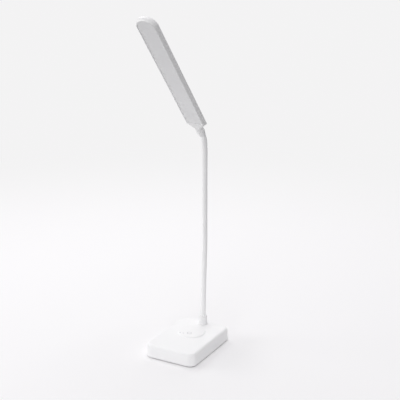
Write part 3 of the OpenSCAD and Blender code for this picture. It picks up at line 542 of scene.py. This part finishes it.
def sleeve_radius(run):
    """The sleeve is stretched thinner along its middle than where its two ends are held."""
    share = clamp(min(run, neck_len - run) / SLEEVE_EASE)
    return SLEEVE_END_R + (SLEEVE_MID_R - SLEEVE_END_R) * soft_step(share)


run = 0.0
for k, joint_place in enumerate(joint_places):
    start, end = middles[k], middles[k + 1]
    path = bezier([start, joint_place, end], BEND_STEPS)
    ways = [joint_place - start] + [b - a for a, b in zip(path, path[2:])] + [end - joint_place]
    runs = [run]
    for a, b in zip(path, path[1:]):
        runs.append(runs[-1] + (b - a).length)
    run = runs[-1]
    rows = list(zip(path, ways, map(sleeve_radius, runs)))
    replaced = ["neck_sleeve_%02d" % (k + 1)]
    if k == 0:
        rows = [(Vector((0, NECK_Y, BASE_H + z)), up_way, SLEEVE_END_R) for z in IN_COLLAR] + rows
    if k == len(joint_places) - 1:
        rows += [(mouth + z * head_up, head_up, SLEEVE_END_R) for z in IN_SPIGOT]
        replaced.append("neck_sleeve_%02d" % (k + 2))
    rings = []
    for p, way, r in rows:
        side_way = way.normalized().cross(across_way)
        rings.append([p + r * (math.cos(a) * across_way + math.sin(a) * side_way)
                      for a in full_turn(SLEEVE_STEPS)])
    sleeve = Shape()
    sleeve.loft(rings, False, False)
    obj = sleeve.piece("sleeve_%02d" % (k + 1))
    finish_piece(obj, "white_sleeve", None, replaced)
    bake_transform(obj)


# ---------------------------------------------------------------- head shells

WAIST_PULLS = ((WAIST_X, 19.6), (8.2, 23.0))
WAIST_STEPS, SHOULDER_STEPS, SLAB_STEPS, TIP_STEPS, HEAD_EDGE_STEPS = 30, 10, 24, 40, 14
SLOPE_RISE, SLOPE_STAY, SLOPE_FADE = 12.0, 4.0, 40.0       # its stretches up the head
EDGE_CHAMFER, CHAMFER_RUN, FACE_GUIDE = 0.06, 0.12, 0.25
FRAME_LAND, BACK_LAND = 0.1, 0.15          # what the edge's round leaves of the side at the waist

face_y = -HEAD_T / 2
# The two halves' edges. The frame's was meant to lie a seam's width from the back shell's, at
# SPLIT_Y - SEAM / 2. It laps the shell instead, and the seam shows as a fine step
back_seam_y = SPLIT_Y + SEAM / 2
frame_seam_y = -(SPLIT_Y - SEAM / 2)


def head_outline(start_z):
    """Half of the head's outline from the waist to the tip: x, z, the outward way and how far
    the point is from the waist to the slab, from 0 to 1."""
    shoulder = arc(CORNER_X, CORNER_Z, CORNER_R, -45, 0, SHOULDER_STEPS)
    waist = bezier([(WAIST_X, start_z), *WAIST_PULLS, shoulder[0]], WAIST_STEPS)
    points = [(p.x, p.y) for p in waist] + shoulder[1:]
    points += [(SHOULDER_X + (TIP_R - SHOULDER_X) * k / SLAB_STEPS,
                CORNER_Z + (TIP_Z - CORNER_Z) * k / SLAB_STEPS) for k in range(1, SLAB_STEPS)]
    points += arc(0, TIP_Z, TIP_R, 0, 90, TIP_STEPS)
    runs = [0.0]
    for a, b in zip(points, points[1:]):
        runs.append(runs[-1] + math.dist(a, b))
    slab_at = runs[WAIST_STEPS + SHOULDER_STEPS]
    ways = [Vector((b[1] - a[1], a[0] - b[0])).normalized() for a, b in zip(points, points[2:])]
    ways = [Vector((1, 0))] + ways + [Vector((0, 1))]
    return [(x, z, way, min(r / slab_at, 1.0)) for (x, z), way, r in zip(points, ways, runs)]


def slope_down(x, y, z):
    """The shoulders' underside slopes: their back reaches further down the neck than their face."""
    share = (y + HEAD_T / 2) / HEAD_T
    rise = soft_step(clamp((z - SPIGOT_END) / SLOPE_RISE))
    fade = soft_step(clamp((z - CORNER_Z - SLOPE_STAY) / SLOPE_FADE))
    return x, y, z - SHOULDER_SLOPE * share * rise * (1 - fade)


def half_shell(name, side, start_z, seam_y, waist_round, edge_round, draft):
    """One half of the head, from the seam round its edge to its flat face. side is 1 for the
    back and -1 for the front. The edge is rounded by waist_round at the waist, and by
    edge_round from the shoulders on."""
    rows = head_outline(start_z)
    rows = [(-x, z, Vector((-way.x, way.y)), share) for x, z, way, share in rows] + rows[-2::-1]
    face = HEAD_T / 2
    shape = Shape(to_head)
    columns = []
    for x, z, way, share in rows:
        ease = soft_step(share)
        edge = waist_round + (edge_round - waist_round) * ease
        lean_in = draft * ease
        line = [(0.0, side * seam_y), (EDGE_CHAMFER * ease, side * seam_y + CHAMFER_RUN),
                (lean_in, face - edge)]
        line += [(lean_in + edge + dx, face - edge + dy)
                 for dx, dy in arc(0, 0, edge, 180, 90, HEAD_EDGE_STEPS)[1:]]
        line.append((lean_in + edge + FACE_GUIDE * ease, face))
        columns.append(shape.ring([slope_down(x - way.x * inset, side * y, z - way.y * inset)
                                   for inset, y in line]))
    for a, b in zip(columns, columns[1:]):
        shape.bridge(a, b, closed=False)
    # The flat face: each point of the left edge is joined to the one across from it
    inner = [column[-1] for column in columns]
    half = len(inner) // 2
    for i in range(half - 1):
        shape.faces.append((inner[i], inner[i + 1], inner[-2 - i], inner[-1 - i]))
    shape.faces.append((inner[half - 1], inner[half], inner[half + 1]))
    obj = shape.piece(name)
    wall = obj.modifiers.new("wall", "SOLIDIFY")
    wall.thickness, wall.offset = HEAD_WALL * MM, -1.0
    apply_modifiers(obj)
    return obj


FACE_CORNER, FACE_CORNER_STEPS, FACE_SIDE_STEPS = 1.6, 14, 30
# How far the opening's wall lies beyond the rim's line, and how deep below the face
RIM_PROFILE = ((-0.4, -0.2), (-0.2, 0.0), (-0.07, 0.06), (0.0, 0.2), (0.0, 3.0))


def face_outline(inset, y):
    """The outline of the head's face drawn in by an inset, as a ring at level y."""
    low_w, tip_w = SHOULDER_X - inset, TIP_R - inset
    side_z = CORNER_Z + inset
    right = arc(low_w - FACE_CORNER, side_z, FACE_CORNER, -90, 0, FACE_CORNER_STEPS)
    right += [(low_w + (tip_w - low_w) * k / FACE_SIDE_STEPS,
               side_z + (TIP_Z - side_z) * k / FACE_SIDE_STEPS) for k in range(1, FACE_SIDE_STEPS)]
    right += arc(0, TIP_Z, tip_w, 0, 90, TIP_STEPS)
    left = [(-x, z) for x, z in right[-2::-1]]
    return [(x, y, z) for x, z in right + left]


back = half_shell("head_back_shell", 1, SPIGOT_END, back_seam_y,
                  HEAD_T / 2 - BACK_LAND, BACK_EDGE, BACK_DRAFT)
front = half_shell("head_front_frame", -1, SPIGOT_END + SEAM, frame_seam_y,
                   HEAD_T / 2 - frame_seam_y - FRAME_LAND, HEAD_EDGE, FRONT_DRAFT)
opening = Shape(to_head)
opening.loft([face_outline(RIM_W + inset, face_y + depth) for inset, depth in RIM_PROFILE])
cut(front, opening.piece("opening"))
finish_piece(front, "white_plastic", "head", ["head_frame"])


# ---------------------------------------------------------------- spigot and posts

MOUTH_Z, MOUTH_R, MOUTH_BORE = 2.25, 4.3, 3.56
BORE_LIP, BORE_LIP_STEPS, MOUTH_LIP, MOUTH_LIP_STEPS = 0.2, 4, 0.45, 6
BORE_LIP_HIGH, BORE_END, HOLLOW_R = 0.25, 6.0, 3.0
BARREL_R, BARREL_EDGE, BARREL_TOP, BARREL_EDGE_STEPS = 5.5, 0.7, 12.7, 6
CONE = ((MOUTH_R, 2.75), (4.65, 5.4), (5.15, 8.6), (BARREL_R, 10.8), (BARREL_R, 12.6))
CONE_STEPS, SPIGOT_STEPS = 6, 80
NOTCH = ((4.86, 13.8), (WAIST_R, 14.5))
POST_R, POST_HOLE_R, POST_HOLE_DEPTH, POST_STEPS = 1.7, 0.85, 0.95, 32
POST_ROOT_R, POST_ROOT_H, POST_ROOT_SINK = 2.0, 0.1, 0.15
LED_POST_H, CLAMP_POST_Y = 0.4, 1.7

# From the bore, round the mouth, up the outside and back in above the waist
profile = [(HOLLOW_R, BORE_END), (MOUTH_BORE, BORE_END), (MOUTH_BORE, MOUTH_Z + BORE_LIP_HIGH)]
profile += arc(MOUTH_BORE + BORE_LIP, MOUTH_Z + BORE_LIP, BORE_LIP, 180, 270, BORE_LIP_STEPS)
profile += arc(MOUTH_R - MOUTH_LIP, MOUTH_Z + MOUTH_LIP, MOUTH_LIP, -90, 0, MOUTH_LIP_STEPS)
profile += [(p.x, p.y) for p in through(CONE, CONE_STEPS)]
profile += arc(BARREL_R - BARREL_EDGE, BARREL_TOP, BARREL_EDGE, 0, 70, BARREL_EDGE_STEPS)
profile += [*NOTCH, (WAIST_R, SPIGOT_END), (HOLLOW_R, SPIGOT_END)]
spigot = Shape(to_head)
spigot.lathe(profile, (0, 0), SPIGOT_STEPS, False, False)

shell_y = HEAD_T / 2 - HEAD_WALL


def post(x, y, z):
    """A screw post from level y to the back shell's wall."""
    levels = ((POST_HOLE_R, y + POST_HOLE_DEPTH), (POST_HOLE_R, y + SINK), (POST_R, y),
              (POST_R, shell_y - POST_ROOT_H), (POST_ROOT_R, shell_y + POST_ROOT_SINK))
    spigot.loft([[(x + r * math.cos(a), h, z + r * math.sin(a)) for a in full_turn(POST_STEPS)]
                 for r, h in levels], cap_last=False)


for z in POST_PLACES:
    post(0, shell_y - LED_POST_H, z)
for x in (-CLAMP_X, CLAMP_X):
    post(x, CLAMP_POST_Y, CLAMP_Z)
spigot_piece = spigot.piece("spigot")
finish_piece(back, "white_plastic", "head", ["head_back"])
finish_piece(spigot_piece, "white_plastic", "head")


# ---------------------------------------------------------------- diffuser

# The milky panel lies a little below the rim and has softened edges
PANEL_EDGE, PANEL_EDGE_STEPS, PANEL_GUIDE = 0.3, 6, 0.8

panel_y, panel_inset = face_y + DIFFUSER_RECESS, RIM_W + DIFFUSER_GAP
panel = Shape(to_head)
panel.loft([face_outline(panel_inset, panel_y + DIFFUSER_T),
            face_outline(panel_inset, panel_y + PANEL_EDGE)]
           + [face_outline(panel_inset + PANEL_EDGE + x, panel_y + PANEL_EDGE + y)
              for x, y in arc(0, 0, PANEL_EDGE, 180, 270, PANEL_EDGE_STEPS)]
           + [face_outline(panel_inset + PANEL_GUIDE, panel_y)])
finish_piece(panel.piece("milky_panel"), "milky_diffuser", "head", ["diffuser"])


# ---------------------------------------------------------------- stage

# Metres from here on. The floor is seen in one pale tone that runs out into the backdrop. To
# the light that bounces off it, it is pale near the lamp and dark farther out
FLOOR_REACH = 6.0
FLOOR_SEEN = (0.93, 0.925, 0.933, 1)
FLOOR_NEAR, FLOOR_FAR = (0.93, 0.93, 0.935, 1), (0.17, 0.17, 0.17, 1)
FLOOR_FADE, FLOOR_MIDDLE = (0.25, 0.45), (-0.07, -0.15, 0)
BACKDROP_FADE, BACKDROP_MIDDLE = (0.30, 0.95), (0, 0, 0)
BACKDROP_TINT, SKY_TINT = (1.0, 0.995, 1.0, 1), (1.0, 0.985, 1.005, 1)
WORLD_LIGHT, WORLD_SEEN = 0.42, 0.90

floor_mesh = bpy.data.meshes.new("floor")
floor_mesh.from_pydata([(sx * FLOOR_REACH, sy * FLOOR_REACH, 0)
                        for sx, sy in ((-1, -1), (1, -1), (1, 1), (-1, 1))], [], [(0, 1, 2, 3)])
floor = add_object("floor", floor_mesh)


def seen_directly(nodes, links):
    """1 for what the camera sees, itself or in a reflection, and 0 for light that bounces."""
    path = nodes.new("ShaderNodeLightPath")
    out = path.outputs["Is Camera Ray"]
    for other in ("Is Glossy Ray", "Is Transmission Ray"):
        add = nodes.new("ShaderNodeMath")
        add.operation = "ADD"
        add.use_clamp = True
        links.new(out, add.inputs[0])
        links.new(path.outputs[other], add.inputs[1])
        out = add.outputs[0]
    return out


def floor_finish():
    """A matt pale table that fades into the backdrop. The light that it sends up comes from a
    patch round its middle, a little to the front and left of the lamp."""
    m = bpy.data.materials.new("pale_floor")
    m.use_nodes = True
    nodes, links = m.node_tree.nodes, m.node_tree.links
    nodes.remove(nodes["Principled BSDF"])
    where = nodes.new("ShaderNodeNewGeometry").outputs["Position"]

    def fade(span, middle):
        """0 within the first distance from the middle, and 1 beyond the second."""
        away = nodes.new("ShaderNodeVectorMath")
        away.operation = "DISTANCE"
        links.new(where, away.inputs[0])
        away.inputs[1].default_value = middle
        n = map_range(nodes, links, away.outputs["Value"],
                      {"From Min": span[0], "From Max": span[1]})
        n.interpolation_type = "SMOOTHSTEP"
        return n.outputs["Result"]

    table, backdrop = nodes.new("ShaderNodeBsdfDiffuse"), nodes.new("ShaderNodeEmission")
    set_inputs(table, {"Color": FLOOR_SEEN})
    set_inputs(backdrop, {"Color": BACKDROP_TINT, "Strength": WORLD_SEEN})
    seen = mix_shaders(nodes, links, fade(BACKDROP_FADE, BACKDROP_MIDDLE), table, backdrop)
    bounced = nodes.new("ShaderNodeBsdfDiffuse")
    links.new(mix_colours(nodes, links, fade(FLOOR_FADE, FLOOR_MIDDLE), FLOOR_NEAR, FLOOR_FAR),
              bounced.inputs["Color"])
    both = mix_shaders(nodes, links, seen_directly(nodes, links), bounced, seen)
    links.new(both.outputs[0], nodes["Material Output"].inputs["Surface"])
    return m


floor_mesh.materials.append(floor_finish())


# ---------------------------------------------------------------- light

world = bpy.data.worlds.new("studio")
bpy.context.scene.world = world
world.use_nodes = True
nodes, links = world.node_tree.nodes, world.node_tree.links
sky = nodes["Background"]
set_inputs(sky, {"Color": SKY_TINT})
level = nodes.new("ShaderNodeMix")
links.new(seen_directly(nodes, links), level.inputs["Factor"])
set_inputs(level, {"A": WORLD_LIGHT, "B": WORLD_SEEN})
links.new(level.outputs["Result"], sky.inputs["Strength"])

AIM = Vector((0, 0, 0.15))
# name, place, width and watts of each soft round lamp
SOFT_LAMPS = (
    ("key", (-1.6, 0.9, 2.0), 1.3, 12.0),
    ("side", (-2.2, -0.7, 0.7), 1.0, 14.5),
    ("front", (0.5, -2.3, 0.32), 0.6, 12.0),
    ("top", (0.0, 0.2, 2.6), 1.6, 21.0),
    ("fill", (1.9, -1.3, 1.2), 1.6, 2.5),
    ("back", (-0.5, 2.3, 1.4), 1.6, 10.5),
)
for name, place, width, watts in SOFT_LAMPS:
    light = bpy.data.lights.new(name, "AREA")
    light.shape, light.size, light.energy = "DISK", width, watts
    obj = add_object(name, light)
    obj.location = place
    obj.rotation_mode = "QUATERNION"
    obj.rotation_quaternion = (AIM - Vector(place)).to_track_quat("-Z", "Y")


# ---------------------------------------------------------------- camera

# Fitted to the base's corners, the neck and the head's edges in the photo
CAMERA_PLACE = Vector((0.689534, -1.202491, 0.677204))
CAMERA_TURN, CAMERA_RISE, CAMERA_ROLL = 29.158, 18.726, -0.05
CAMERA_LENS, CAMERA_SENSOR = 103.148, 36.0

camera_data = bpy.data.cameras.new("camera")
camera_data.sensor_fit = "HORIZONTAL"
camera_data.sensor_width, camera_data.lens = CAMERA_SENSOR, CAMERA_LENS
camera_data.clip_start, camera_data.clip_end = 0.05, 50.0
camera = add_object("camera", camera_data)
turn, rise, roll = (math.radians(a) for a in (CAMERA_TURN, CAMERA_RISE, CAMERA_ROLL))
flat_right = Vector((math.cos(turn), math.sin(turn), 0))
behind = Vector((math.sin(turn) * math.cos(rise), -math.cos(turn) * math.cos(rise),
                 math.sin(rise)))
upright = behind.cross(flat_right)
right = math.cos(roll) * flat_right + math.sin(roll) * upright
above = -math.sin(roll) * flat_right + math.cos(roll) * upright
camera.matrix_world = Matrix((*zip(right, above, behind, CAMERA_PLACE), (0, 0, 0, 1)))
bpy.context.scene.camera = camera
bpy.context.scene.view_settings.view_transform = "Standard"
